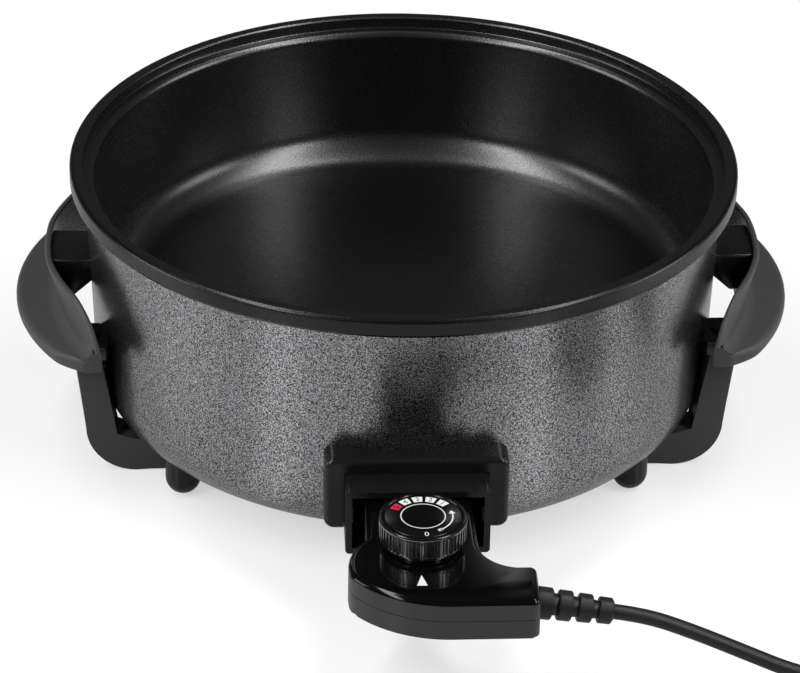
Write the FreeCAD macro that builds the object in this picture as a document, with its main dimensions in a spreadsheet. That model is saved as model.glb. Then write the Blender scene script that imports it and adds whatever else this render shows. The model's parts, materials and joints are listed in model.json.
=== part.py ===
import FreeCAD
import Part

import math
import os

import Sketcher

# Round electric skillet: a deep cast pan in a painted shell, two side handles with legs,
# and a plug-in thermostat controller with its mains lead.
# Heights are above the surface it stands on. Lengths across are from the pan's own axis.

V = FreeCAD.Vector
doc = FreeCAD.newDocument("skillet")
sheet = doc.addObject("Spreadsheet::Sheet", "Sizes")
parts = {}

sizes = {
    # pan
    "rimTop": 142, "rimRadius": 163, "beadWidth": 6.6, "bandHeight": 9, "beadRound": 1.6,
    "ledgeDrop": 6, "ledgeWidth": 3.9, "shoulderRound": 4, "wallTaper": 3, "panWall": 2.6,
    "panDepth": 76, "panCorner": 17.5,
    # shell under the rim
    "shellTopRadius": 156, "shellTaper": 3.6, "shellCorner": 26.6, "shellWall": 1, "shellLift": 13,
    "baseOpening": 98, "basePlateRadius": 118, "basePlateWall": 1,
    # heating parts
    "heatPlateRadius": 98, "heatPlateWall": 2, "elementRing": 78, "elementTube": 3.5,
    "elementBend": 12, "studCircle": 110, "studRadius": 4, "shieldHeight": 30, "shieldWall": 0.6,
    "clipWidth": 10, "clipWall": 1,
    # plug-in socket
    "pinRadius": 3, "pinSpacing": 22, "pinHeight": 42, "pinReach": 170, "pinRoot": 142,
    "probeRadius": 3, "probeHeight": 51, "probeTip": 104, "sleeveRadius": 4.2, "sleeveMouth": 156,
    "sleeveEnd": 98, "fitClear": 0.05, "holeClear": 0.2,
    "collarWidth": 67, "collarBottom": 27.5, "collarTop": 60.7, "collarReach": 179, "collarBack": 143,
    "collarWall": 3, "collarRound": 2,
    "guardWidth": 86, "guardBottom": 30.3, "guardTop": 68, "guardReach": 162.5, "guardRound": 5,
    "springWall": 0.6, "springHeight": 8, "springDepth": 18,
    "screwShank": 1.9, "screwHead": 3.4, "screwHeadHeight": 2, "socketScrewX": 38.4, "socketScrewZ": 49,
    # handles
    "handleReach": 191, "handleHalf": 77, "flangeEnd": 163, "flangeBottom": 65.4, "flangeWall": 7,
    "wallFoot": 166, "wallFootEnd": 147, "wallLean": 7, "wallTop": 96.4, "wallThick": 3.2,
    "bracketHalf": 16, "bracketBottom": 75, "bracketTop": 92, "handleScrewY": 9, "handleScrewZ": 84,
    "lugInner": 144.5, "lugSpare": 5,
    # legs and feet
    "legFront": 60, "legWidth": 16, "legOuterTop": 161.2, "legOuterLow": 156.4, "legInnerTop": 147.2,
    "legInnerLow": 142.2, "legBarHeight": 19.4, "legBarEnd": 110, "legCorner": 24, "legScrewX": 152,
    "legBaseScrewX": 120, "legScrewHole": 14,
    "footX": 109, "footY": 79.5, "footRadius": 8.6,
    # controller housing
    "caseBottom": 36.1, "caseSplit": 45.6, "caseTop": 55.9, "caseWall": 1.8, "noseHalf": 25,
    "noseTip": 158, "neckY": 208, "bodyY": 232.5, "caseFront": 262, "caseRight": 50.3, "caseLeft": 33.4,
    "neckRound": 17, "cheekRound": 62, "caseCornerY": 238, "frontStart": 12,
    "bossRadius": 3.4, "caseScrew": 1.4, "caseScrewHead": 2.6,
    # knob and switch works
    "knobY": 214.5, "knobRadius": 20, "knobTop": 71, "knobSkirt": 59.6, "knobNeck": 15.5,
    "knobGap": 0.4, "dialRadius": 17.4, "dialWall": 0.6, "shaftRadius": 3, "shaftFoot": 46.6,
    "bushRadius": 5, "bushHeight": 4, "camRadius": 6.5, "camBottom": 46.6, "camHeight": 3,
    # lead
    "cordRadius": 3.5, "reliefLength": 34, "reliefRoot": 7.4, "reliefEnd": 5.9, "reliefTilt": 9,
    "reliefZ": 45.7, "reliefY": 247.5,
    "coilRadius": 46, "coilPitch": 7.8, "coilLayer": 7.8,
    "tieWall": 0.6, "tieWidth": 9,
    "plugRadius": 18.5, "plugHead": 22, "plugGrip": 24, "plugNeck": 14, "plugPinRadius": 2.4,
    "plugPinLength": 19, "plugPinSpacing": 19,
}
for row, (alias, value) in enumerate(sizes.items(), start=1):
    sheet.set("A%d" % row, alias)
    sheet.set("B%d" % row, str(value))
    sheet.setAlias("B%d" % row, alias)
doc.recompute()
# The origin lies under the middle of the object's box, which runs from the pan's back to the controller.
panRow = len(sizes) + 1
sheet.set("A%d" % panRow, "panAxisY")
sheet.set("B%d" % panRow, "=(caseFront - rimRadius) / 2")
sheet.setAlias("B%d" % panRow, "panAxisY")
doc.recompute()


def bound(text):
    """Put the sheet's name before each of its aliases in a formula."""
    words = []
    word = ""
    for letter in text + " ":
        if letter.isalnum():
            word += letter
            continue
        if word in sizes or word == "panAxisY":
            word = "Sizes." + word
        words.append(word + letter)
        word = ""
    return "".join(words).strip()


def num(text):
    value = sheet.evalExpression(bound(str(text)))
    return float(getattr(value, "Value", value))


def bind(thing, **settings):
    """Bind properties to formulas. Two underscores in a name stand for a dot."""
    for name, text in settings.items():
        thing.setExpression(name.replace("__", "."), bound(str(text)))
    return thing


def place(thing, x="0", y="0", z="0"):
    bind(thing, Placement__Base__x=x, Placement__Base__y="panAxisY + (%s)" % y, Placement__Base__z=z)
    return thing


def keep(label, thing):
    thing.Label = label
    parts[label] = thing
    return thing


def newBody(name):
    return place(doc.addObject("PartDesign::Body", name))


def originPlane(body, role):
    return next(item for item in body.Origin.OriginFeatures if item.Role == role)


def newSketch(body, name, role, offset="0"):
    sketch = body.newObject("Sketcher::SketchObject", name)
    sketch.AttachmentSupport = [(originPlane(body, role), "")]
    sketch.MapMode = "FlatFace"
    bind(sketch, AttachmentOffset__Base__z=offset)
    return sketch


def pin(sketch, geometry, end, across, up):
    """Hold one end point of a line or arc by its two distances from the sketch's origin."""
    for kind, axis, text in (("DistanceX", -2, across), ("DistanceY", -1, up)):
        value = num(text)
        if abs(value) < 1e-9:
            sketch.addConstraint(Sketcher.Constraint("PointOnObject", geometry, end, axis))
        else:
            index = sketch.addConstraint(Sketcher.Constraint(kind, -1, 1, geometry, end, value))
            sketch.setExpression("Constraints[%d]" % index, bound(text))


def arcBetween(start, end, radius, side):
    """Centre and angles of an arc from start to end, with its centre on the left for side 1."""
    chord = end - start
    half = chord.Length / 2
    rise = math.sqrt(max(radius * radius - half * half, 0))
    left = V(-chord.y, chord.x, 0).normalize()
    centre = (start + end) * 0.5 + left * rise * side
    first, last = (start, end) if side > 0 else (end, start)
    angles = [math.atan2(p.y - centre.y, p.x - centre.x) for p in (first, last)]
    return centre, angles


def outline(sketch, corners):
    """Closed outline. A corner is (across, up), or (across, up, radius, side) after an arc."""
    points = [V(num(c[0]), num(c[1]), 0) for c in corners]
    ends = []
    for index, corner in enumerate(corners):
        start = points[index - 1]
        end = points[index]
        if len(corner) == 2:
            geometry = sketch.addGeometry(Part.LineSegment(start, end), False)
            ends.append((geometry, 1, 2))
        else:
            radius = num(corner[2])
            centre, angles = arcBetween(start, end, radius, corner[3])
            circle = Part.Circle(centre, V(0, 0, 1), radius)
            geometry = sketch.addGeometry(Part.ArcOfCircle(circle, *angles), False)
            ends.append((geometry, 1, 2) if corner[3] > 0 else (geometry, 2, 1))
            index = sketch.addConstraint(Sketcher.Constraint("Radius", geometry, radius))
            sketch.setExpression("Constraints[%d]" % index, bound(corner[2]))
    for index, corner in enumerate(corners):
        geometry, first, last = ends[index]
        following = ends[(index + 1) % len(ends)]
        sketch.addConstraint(Sketcher.Constraint("Coincident", geometry, last, following[0], following[1]))
        pin(sketch, geometry, last, corner[0], corner[1])
    return sketch


def box(sketch, left, right, low, high):
    return outline(sketch, [(left, low), (right, low), (right, high), (left, high)])


def circles(sketch, places, radius):
    for across, up in places:
        centre = V(num(across), num(up), 0)
        geometry = sketch.addGeometry(Part.Circle(centre, V(0, 0, 1), num(radius)), False)
        index = sketch.addConstraint(Sketcher.Constraint("Radius", geometry, num(radius)))
        sketch.setExpression("Constraints[%d]" % index, bound(radius))
        pin(sketch, geometry, 3, across, up)
    return sketch


def pad(body, sketch, length, reverse=False, middle=False):
    feature = body.newObject("PartDesign::Pad", sketch.Name + "Pad")
    feature.Profile = sketch
    feature.Midplane = middle
    feature.Reversed = reverse
    return bind(feature, Length=length)


def pocket(body, sketch, length, reverse=False, middle=False):
    feature = body.newObject("PartDesign::Pocket", sketch.Name + "Pocket")
    feature.Profile = sketch
    feature.Midplane = middle
    feature.Reversed = reverse
    return bind(feature, Length=length)


def revolve(body, sketch, axis="V_Axis"):
    feature = body.newObject("PartDesign::Revolution", sketch.Name + "Turn")
    feature.Profile = sketch
    feature.ReferenceAxis = (sketch, [axis])
    feature.Angle = 360
    return feature


def fillet(body, base, radius, choose):
    """Round those edges of the base feature that choose accepts."""
    doc.recompute()
    names = ["Edge%d" % (i + 1) for i, edge in enumerate(base.Shape.Edges) if choose(edge)]
    feature = body.newObject("PartDesign::Fillet", base.Name + "Round")
    feature.Base = (base, names)
    return bind(feature, Radius=radius)


def alongAxis(edge, axis):
    return edge.Curve.TypeId == "Part::GeomLine" and abs(abs(edge.Curve.Direction.dot(axis)) - 1) < 1e-6


def rod(name, radius, length, x, y, z, turn=None):
    """Round bar from a point, upwards or, with a turn, along another axis."""
    bar = doc.addObject("Part::Cylinder", name)
    bind(bar, Radius=radius, Height=length)
    if turn:
        bar.Placement = FreeCAD.Placement(V(), FreeCAD.Rotation(V(*turn[0]), turn[1]))
    return place(bar, x, y, z)


forward = ((1, 0, 0), 90)
rightward = ((0, 1, 0), 90)
leftward = ((0, 1, 0), -90)


def block(name, x, y, z, length, width, height):
    """Block whose named corner is its lowest in x, y and z."""
    solid = doc.addObject("Part::Box", name)
    bind(solid, Length=length, Width=width, Height=height)
    return place(solid, x, y, z)


def cut(name, base, tool):
    feature = doc.addObject("Part::Cut", name)
    feature.Base = base
    feature.Tool = tool
    return feature


def fuse(name, things):
    feature = doc.addObject("Part::MultiFuse", name)
    feature.Shapes = things
    return feature


def group(name, things):
    feature = doc.addObject("Part::Compound", name)
    feature.Links = things
    return feature


def screw(name, x, y, z, length, turn, back):
    """Pan-head screw whose shank starts at the point and whose head lies behind it."""
    shank = rod(name + "Shank", "screwShank", length, x, y, z, turn)
    headAt = [x, y, z]
    headAt[back[0]] = "%s + %s * screwHeadHeight" % (headAt[back[0]], back[1])
    head = rod(name + "Head", "screwHead", "screwHeadHeight", *headAt, turn)
    return fuse(name, [shank, head])


# Lines that several pieces share, as formulas
shellFootRadius = "shellTopRadius - shellTaper"
bandBottom = "rimTop - bandHeight"
floorTop = "rimTop - panDepth"
floorUnder = "rimTop - panDepth - panWall"
plateUnder = "rimTop - panDepth - panWall - heatPlateWall"
elementZ = "rimTop - panDepth - panWall - heatPlateWall - elementTube"


def innerPan():
    body = newBody("innerPan")
    sketch = newSketch(body, "panProfile", "XZ_Plane")
    ledgeInner = "rimRadius - beadWidth - ledgeWidth"
    wallTopRadius = "rimRadius - beadWidth - ledgeWidth - 2"
    wallFootRadius = "rimRadius - beadWidth - ledgeWidth - 2 - wallTaper"
    wallTopZ = "rimTop - ledgeDrop - shoulderRound"
    outline(sketch, [
        ("0", floorTop),
        ("0", floorUnder),
        (wallFootRadius + " - panCorner", floorUnder),
        (wallFootRadius + " + panWall", floorTop + " + panCorner", "panCorner + panWall", 1),
        (wallTopRadius + " + panWall", bandBottom),
        ("rimRadius - 0.6", bandBottom),
        ("rimRadius", bandBottom + " + 1.4"),
        ("rimRadius", "rimTop - beadRound"),
        ("rimRadius - beadRound", "rimTop", "beadRound", 1),
        ("rimRadius - beadWidth + 0.6", "rimTop"),
        ("rimRadius - beadWidth", "rimTop - 0.6", "0.6", 1),
        ("rimRadius - beadWidth", "rimTop - ledgeDrop"),
        (ledgeInner, "rimTop - ledgeDrop"),
        (wallTopRadius, wallTopZ, "shoulderRound + 0.6", 1),
        (wallFootRadius, floorTop + " + panCorner"),
        (wallFootRadius + " - panCorner", floorTop, "panCorner", -1),
    ])
    revolve(body, sketch)
    keep("inner_pan", body)


def shellOuter():
    """Corners of the shell's outside, from its top edge down and in to its base opening."""
    return [
        ("shellTopRadius", bandBottom),
        (shellFootRadius, "shellLift + shellCorner"),
        (shellFootRadius + " - shellCorner", "shellLift", "shellCorner", -1),
    ]


def shellForm():
    """The shell's outer form as a full solid, for shaping what sits against it."""
    body = newBody("shellForm")
    sketch = newSketch(body, "shellFormProfile", "XZ_Plane")
    outline(sketch, [("0", bandBottom)] + shellOuter() + [("0", "shellLift")])
    revolve(body, sketch)
    return body


def outerShell():
    body = newBody("outerShell")
    sketch = newSketch(body, "shellProfile", "XZ_Plane")
    outline(sketch, shellOuter() + [
        ("baseOpening", "shellLift"),
        ("baseOpening", "shellLift + shellWall"),
        (shellFootRadius + " - shellCorner", "shellLift + shellWall"),
        (shellFootRadius + " - shellWall", "shellLift + shellCorner", "shellCorner - shellWall", 1),
        ("shellTopRadius - shellWall", bandBottom),
    ])
    revolve(body, sketch)
    window = newSketch(body, "shellWindow", "XZ_Plane")
    half = "collarWidth / 2 + holeClear"
    box(window, "-(%s)" % half, half, "collarBottom - holeClear", "collarTop + holeClear")
    pocket(body, window, "rimRadius", reverse=True)
    socketHoles = newSketch(body, "shellSocketHoles", "XZ_Plane")
    circles(socketHoles, [("-socketScrewX", "socketScrewZ"), ("socketScrewX", "socketScrewZ")],
            "screwShank + holeClear")
    pocket(body, socketHoles, "rimRadius", reverse=True)
    handleHoles = newSketch(body, "shellHandleHoles", "YZ_Plane")
    circles(handleHoles, [("-handleScrewY", "handleScrewZ"), ("handleScrewY", "handleScrewZ")],
            "screwShank + holeClear")
    pocket(body, handleHoles, "rimRadius * 2", middle=True)
    baseHoles = newSketch(body, "shellBaseHoles", "XY_Plane")
    legY = "-(legFront - legWidth / 2)"
    circles(baseHoles, studPlaces() + [("-legBaseScrewX", legY), ("legBaseScrewX", legY)],
            "screwShank + holeClear")
    pocket(body, baseHoles, "shellLift + shellCorner", reverse=True)
    keep("outer_shell", body)


def studPlaces():
    step = "studCircle * sqrt(0.5)"
    return [("-" + step, "-" + step), (step, "-" + step), (step, step), ("-" + step, step)]


def basePlate():
    body = newBody("basePlate")
    sketch = newSketch(body, "basePlateDisc", "XY_Plane", "shellLift - basePlateWall")
    circles(sketch, [("0", "0")], "basePlateRadius")
    pad(body, sketch, "basePlateWall")
    holes = newSketch(body, "basePlateHoles", "XY_Plane")
    circles(holes, studPlaces(), "screwShank + holeClear")
    pocket(body, holes, "shellLift + shellWall", reverse=True)
    keep("base_plate", body)
    screws = []
    for index, (x, y) in enumerate(studPlaces()):
        screws.append(screw("baseScrew%d" % index, x, y, "shellLift - basePlateWall", "10", None, (2, -1)))
    keep("base_screws", group("baseScrews", screws))


def studs():
    """Four posts from the pan's floor down to the shell, each drilled for a base screw."""
    posts = []
    for index, (x, y) in enumerate(studPlaces()):
        floorZ = "shellLift + shellWall"
        post = rod("stud%d" % index, "studRadius", "%s - (%s)" % (floorUnder, floorZ), x, y, floorZ)
        hole = rod("studHole%d" % index, "screwShank + holeClear", "12", x, y, floorZ)
        posts.append(cut("studCut%d" % index, post, hole))
    keep("pan_studs", group("panStuds", posts))


def heatParts():
    body = newBody("heatPlate")
    sketch = newSketch(body, "heatPlateDisc", "XY_Plane", plateUnder)
    circles(sketch, [("0", "0")], "heatPlateRadius")
    pad(body, sketch, "heatPlateWall")
    keep("heat_plate", body)
    shield = newBody("heatShield")
    disc = newSketch(shield, "heatShieldDisc", "XY_Plane", "shieldHeight")
    circles(disc, [("0", "0")], "basePlateRadius")
    pad(shield, disc, "shieldWall")
    holes = newSketch(shield, "heatShieldHoles", "XY_Plane", "shieldHeight - shieldWall")
    circles(holes, studPlaces(), "studRadius + holeClear")
    pocket(shield, holes, "shieldWall * 3", reverse=True)
    keep("heat_shield", shield)


def arcOf(start, middle, end):
    return Part.Arc(start, middle, end).toShape()


def roundedWire(points, name):
    """Straight runs joined by arcs as large as their two runs allow."""
    edges = []
    radii = []
    last = points[0]
    for before, corner, after in zip(points, points[1:], points[2:]):
        into = (corner - before).normalize()
        out = (after - corner).normalize()
        reach = 0.45 * min((corner - before).Length, (after - corner).Length)
        turn = into.getAngle(out)
        radii.append(reach / math.tan(turn / 2))
        start = corner - into * reach
        end = corner + out * reach
        weight = math.cos(turn / 2)
        middle = (start + corner * (2 * weight) + end) * (1 / (2 + 2 * weight))
        edges.append(Part.LineSegment(last, start).toShape())
        edges.append(arcOf(start, middle, end))
        last = end
    edges.append(Part.LineSegment(last, points[-1]).toShape())
    print(name, "bend radii", [round(r, 1) for r in radii])
    return Part.Wire(edges)


def pipe(name, wire, radius):
    """Round tube along a wire, checked against its section times its length."""
    first = wire.Edges[0]
    start = first.valueAt(first.FirstParameter)
    way = first.tangentAt(first.FirstParameter)
    ring = Part.Wire([Part.Circle(start, way, radius).toShape()])
    sweep = Part.BRepOffsetAPI.MakePipeShell(wire)
    sweep.add(ring)
    sweep.build()
    sweep.makeSolid()
    solid = Part.Solid(sweep.shape())
    expected = math.pi * radius * radius * wire.Length
    print(name, "length %.1f" % wire.Length, "volume ratio %.4f" % (solid.Volume / expected))
    feature = doc.addObject("Part::Feature", name)
    feature.Shape = solid
    return place(feature)


def heatingElement():
    """Open ring under the heat plate whose ends turn forwards and step down to the pins."""
    ring = num("elementRing")
    bend = num("elementBend")
    tailX = num("pinSpacing / 2")
    z = num(elementZ)
    pinZ = num("pinHeight")
    bendX = tailX + bend
    bendY = -math.sqrt((ring + bend) ** 2 - bendX ** 2)
    share = ring / (ring + bend)
    onRing = V(bendX * share, bendY * share, z)
    centre = V(bendX, bendY, z)
    halfWay = ((onRing - centre).normalize() + V(-1, 0, 0)).normalize() * bend + centre
    step = [V(tailX, bendY, z), V(tailX, bendY - 22, z), V(tailX, bendY - 32, pinZ),
            V(tailX, -num("pinRoot"), pinZ)]
    tail = roundedWire(step, "heating element tail").Edges
    right = [arcOf(onRing, halfWay, step[0])] + tail
    mirror = FreeCAD.Matrix()
    mirror.A11 = -1
    flipped = Part.Wire(right).transformGeometry(mirror).Edges
    ringArc = arcOf(onRing, V(0, ring, z), V(-onRing.x, onRing.y, z))
    path = Part.Wire(Part.__sortEdges__(right + [ringArc] + flipped))
    keep("heating_element", pipe("heatingElement", path, num("elementTube")))
    clips = []
    for index, angle in enumerate((20, 90, 160)):
        clip = elementClip("clip%d" % index)
        clip.Placement = FreeCAD.Placement(V(), FreeCAD.Rotation(V(0, 0, 1), angle))
        clips.append(place(clip, "elementRing * cos(%d)" % angle, "elementRing * sin(%d)" % angle, plateUnder))
    keep("element_clips", group("elementClips", clips))


def elementClip(name):
    """Square loop that hangs from the heat plate round the element's tube."""
    solids = []
    for label, width, depth in (("Outer", "elementTube * 4", "clipWidth"),
                                ("Bore", "elementTube * 2 + 0.2", "clipWidth * 2")):
        height = "elementTube * 2 + %s" % ("clipWall" if label == "Outer" else "0.1")
        solid = doc.addObject("Part::Box", name + label)
        bind(solid, Length=width, Width=depth, Height=height)
        bind(solid, Placement__Base__x="-(%s) / 2" % width, Placement__Base__y="-(%s) / 2" % depth,
             Placement__Base__z="-(%s)" % height)
        solids.append(solid)
    return cut(name, *solids)


def socketPins():
    for side, name in ((-1, "left"), (1, "right")):
        pinBar = rod("pin" + name, "pinRadius", "pinReach - pinRoot", "%d * pinSpacing / 2" % side,
                     "-pinRoot", "pinHeight", forward)
        keep("terminal_pin_" + name, pinBar)


def probeSleeve():
    outer = rod("sleeveOuter", "sleeveRadius", "sleeveMouth - sleeveEnd", "0", "-sleeveEnd", "probeHeight", forward)
    bore = rod("sleeveBore", "probeRadius + fitClear", "sleeveMouth - sleeveEnd", "0", "-sleeveEnd - 1",
               "probeHeight", forward)
    keep("probe_sleeve", cut("probeSleeve", outer, bore))
    saddle = block("saddleBlock", "-6", "-sleeveEnd - 20", "probeHeight - 5", "12", "18",
                   "%s - (probeHeight - 5)" % plateUnder)
    hole = rod("saddleHole", "sleeveRadius + fitClear", "40", "0", "-sleeveEnd + 5", "probeHeight", forward)
    keep("probe_saddle", cut("probeSaddle", saddle, hole))


def socketCollar():
    """Square tube that guides the controller's nose, closed behind by a wall with three holes."""
    body = newBody("socketCollar")
    sketch = newSketch(body, "collarOutside", "XZ_Plane", "collarBack")
    half = "collarWidth / 2"
    box(sketch, "-" + half, half, "collarBottom", "collarTop")
    base = pad(body, sketch, "collarReach - collarBack")
    fillet(body, base, "collarRound", lambda edge: alongAxis(edge, V(0, 1, 0)))
    hollow = newSketch(body, "collarHollow", "XZ_Plane", "collarBack + collarWall")
    box(hollow, "-(%s - collarWall)" % half, half + " - collarWall",
        "collarBottom + collarWall", "collarTop - collarWall")
    pocket(body, hollow, "collarReach", reverse=True)
    pinHoles = newSketch(body, "collarPinHoles", "XZ_Plane", "collarBack")
    circles(pinHoles, [("-pinSpacing / 2", "pinHeight"), ("pinSpacing / 2", "pinHeight")],
            "pinRadius + holeClear")
    pocket(body, pinHoles, "collarWall * 2", reverse=True)
    probeHole = newSketch(body, "collarProbeHole", "XZ_Plane", "collarBack")
    circles(probeHole, [("0", "probeHeight")], "sleeveRadius + holeClear")
    pocket(body, probeHole, "collarWall * 2", reverse=True)
    keep("socket_collar", body)
    springs = []
    for side in (-1, 1):
        x = "collarWidth / 2 - collarWall - springWall" if side > 0 else "-(collarWidth / 2 - collarWall)"
        springs.append(block("earthSpring%s" % ("R" if side > 0 else "L"), x, "-collarReach + 4",
                             "pinHeight", "springWall", "springDepth", "springHeight"))
    keep("earth_springs", group("earthSprings", springs))


def socketGuard(form):
    body = newBody("socketGuard")
    sketch = newSketch(body, "guardOutside", "XZ_Plane", "collarBack - 3")
    half = "guardWidth / 2"
    box(sketch, "-" + half, half, "guardBottom", "guardTop")
    base = pad(body, sketch, "guardReach - collarBack + 3")
    corners = fillet(body, base, "guardRound", lambda edge: alongAxis(edge, V(0, 1, 0)))
    doc.recompute()
    frontY = -num("guardReach") + num("panAxisY")
    front = fillet(body, corners, "guardRound / 2",
                   lambda edge: all(abs(v.Point.y - frontY) < 1e-3 or abs(v.Point.y + num("guardReach")) < 1e-3
                                    for v in edge.Vertexes))
    window = newSketch(body, "guardWindow", "XZ_Plane", "guardReach + 1")
    opening = "collarWidth / 2 + holeClear"
    box(window, "-(%s)" % opening, opening, "guardBottom - 5", "collarTop + holeClear")
    pocket(body, window, "guardReach")
    holes = newSketch(body, "guardScrewHoles", "XZ_Plane", "guardReach - 4")
    circles(holes, [("-socketScrewX", "socketScrewZ"), ("socketScrewX", "socketScrewZ")],
            "screwShank + holeClear / 2")
    pocket(body, holes, "guardReach")
    keep("socket_guard", cut("socketGuardCut", body, form))
    screws = []
    inside = "-sqrt((%s)^2 - (socketScrewX + screwHead)^2) + shellWall + 0.2" % shellFootRadius
    for side, x in (("L", "-socketScrewX"), ("R", "socketScrewX")):
        screws.append(screw("socketScrew" + side, x, inside, "socketScrewZ",
                            "guardReach - 5 + (%s)" % inside, forward, (1, 1)))
    keep("socket_screws", group("socketScrews", screws))


def arcRadius(reach, end, half):
    """Radius of the arc that passes through both ends and its own middle."""
    return "((%s)^2 + (%s - (%s))^2) / (2 * (%s - (%s)))" % (half, reach, end, reach, end)


def crescent(sketch, side, outerMid, outerEnd, innerMid, innerEnd, half):
    """Closed crescent between two arcs, with straight ends, on the left (-1) or right (1) side."""
    sign = "%d * " % side
    outline(sketch, [
        (sign + "(%s)" % outerEnd, "-(%s)" % half),
        (sign + "(%s)" % outerEnd, half, arcRadius(outerMid, outerEnd, half), side),
        (sign + "(%s)" % innerEnd, half),
        (sign + "(%s)" % innerEnd, "-(%s)" % half, arcRadius(innerMid, innerEnd, half), -side),
    ])


def handle(side, name, form):
    body = newBody("handle" + name)
    flange = newSketch(body, "flange" + name, "XY_Plane", "flangeBottom")
    crescent(flange, side, "handleReach", "flangeEnd", "wallFoot", "wallFootEnd", "handleHalf")
    flangePad = pad(body, flange, "flangeWall")
    fillet(body, flangePad, "5", lambda edge: alongAxis(edge, V(0, 0, 1)))
    sections = []
    for index, lean in enumerate(("0", "wallLean")):
        z = "flangeBottom + 1" if index == 0 else "wallTop"
        section = newSketch(body, "wall%s%d" % (name, index), "XY_Plane", z)
        crescent(section, side, "wallFoot + wallThick + " + lean, "wallFootEnd + wallThick + " + lean,
                 "wallFoot + " + lean, "wallFootEnd + " + lean, "handleHalf - %d" % (5 if index == 0 else 2))
        sections.append(section)
    loft = body.newObject("PartDesign::AdditiveLoft", "wallLoft" + name)
    loft.Profile = sections[0]
    loft.Sections = [sections[1]]
    loft.Ruled = True
    bracket = newSketch(body, "bracket" + name, "XZ_Plane")
    sign = "%d * " % side
    corners = [("(shellTopRadius - 8)", "bracketBottom + 10"), ("(shellTopRadius - 8)", "bracketTop"),
               ("(wallFoot + wallLean + 1)", "bracketTop"), ("(wallFoot + wallThick)", "bracketBottom"),
               ("(wallFoot - 3)", "bracketBottom")]
    outline(bracket, [(sign + x, z) for x, z in (corners if side > 0 else corners[::-1])])
    pad(body, bracket, "bracketHalf * 2", middle=True)
    lug = newSketch(body, "lug" + name, "XY_Plane", "flangeBottom")
    lugX = [sign + "lugInner", sign + "(wallFoot - 1)"]
    if side < 0:
        lugX.reverse()
    box(lug, lugX[0], lugX[1], "-(legFront + lugSpare)", "-(legFront - legWidth - lugSpare)")
    pad(body, lug, "flangeWall")
    bores = newSketch(body, "handleBores" + name, "YZ_Plane")
    circles(bores, [("-handleScrewY", "handleScrewZ"), ("handleScrewY", "handleScrewZ")],
            "screwShank + holeClear / 2")
    pocket(body, bores, "wallFoot - 1", reverse=(side > 0))
    lugHole = newSketch(body, "lugHole" + name, "XY_Plane", "flangeBottom")
    circles(lugHole, [(sign + "legScrewX", "-(legFront - legWidth / 2)")], "screwShank + holeClear")
    pocket(body, lugHole, "flangeWall", reverse=True)
    keep("handle_" + name, cut("handleCut" + name, body, form))


def leg(side, name, form):
    body = newBody("leg" + name)
    sketch = newSketch(body, "legShape" + name, "XZ_Plane", "legFront - legWidth")
    sign = "%d * " % side
    corners = [("legBarEnd", "0"), ("(legOuterLow - 2.2)", "0"), ("legOuterTop", "flangeBottom"),
               ("legInnerTop", "flangeBottom"), ("legInnerLow", "legBarHeight"), ("legBarEnd", "legBarHeight")]
    outline(sketch, [(sign + x, z) for x, z in (corners if side > 0 else corners[::-1])])
    base = pad(body, sketch, "legWidth")
    cornerX = num("legOuterLow - 2.2")
    fillet(body, base, "legCorner",
           lambda edge: all(abs(abs(v.Point.x) - cornerX) < 1e-3 and abs(v.Point.z) < 1e-3 for v in edge.Vertexes))
    topHole = newSketch(body, "legTopHole" + name, "XY_Plane", "flangeBottom")
    middleY = "-(legFront - legWidth / 2)"
    circles(topHole, [(sign + "legScrewX", middleY)], "screwShank + holeClear / 2")
    pocket(body, topHole, "legScrewHole")
    baseHole = newSketch(body, "legBaseHole" + name, "XY_Plane")
    circles(baseHole, [(sign + "legBaseScrewX", middleY)], "screwShank + holeClear / 2")
    pocket(body, baseHole, "legBarHeight", reverse=True)
    recess = newSketch(body, "legRecess" + name, "XY_Plane")
    circles(recess, [(sign + "legBaseScrewX", middleY)], "screwHead + holeClear")
    pocket(body, recess, "screwHeadHeight + 2", reverse=True)
    keep("leg_" + name, cut("legCut" + name, body, form))


def sideScrews():
    middleY = "-(legFront - legWidth / 2)"
    handleScrews = []
    legScrews = []
    for side, name, turn in ((-1, "L", leftward), (1, "R", rightward)):
        sign = "%d * " % side
        inside = "(%s + shellTaper * 0.45 - shellWall - 0.7)" % shellFootRadius
        for y in ("-handleScrewY", "handleScrewY"):
            label = "handleScrew%s%d" % (name, len(handleScrews))
            handleScrews.append(screw(label, sign + inside, y, "handleScrewZ",
                                      "wallFoot - 2 - " + inside, turn, (0, -side)))
        legScrews.append(screw("lugScrew" + name, sign + "legScrewX", middleY, "flangeBottom + flangeWall",
                               "flangeWall + legScrewHole - 1", ((1, 0, 0), 180), (2, 1)))
        legScrews.append(screw("legBaseScrew" + name, sign + "legBaseScrewX", middleY, "screwHeadHeight + 2",
                               "shellLift + 3", None, (2, -1)))
    keep("handle_screws", group("handleScrews", handleScrews))
    keep("leg_screws", group("legScrews", legScrews))


def feet(form):
    for nameX, x in (("left", "-footX"), ("right", "footX")):
        for nameY, y in (("front", "-footY"), ("rear", "footY")):
            name = nameY + nameX
            post = rod("footPost" + name, "footRadius", "footRadius * 2", x, y, "footRadius")
            dome = doc.addObject("Part::Sphere", "footDome" + name)
            bind(dome, Radius="footRadius")
            place(dome, x, y, "footRadius")
            whole = fuse("footWhole" + name, [post, dome])
            keep("foot_%s_%s" % (nameY, nameX), cut("foot" + name, whole, form))


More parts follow.
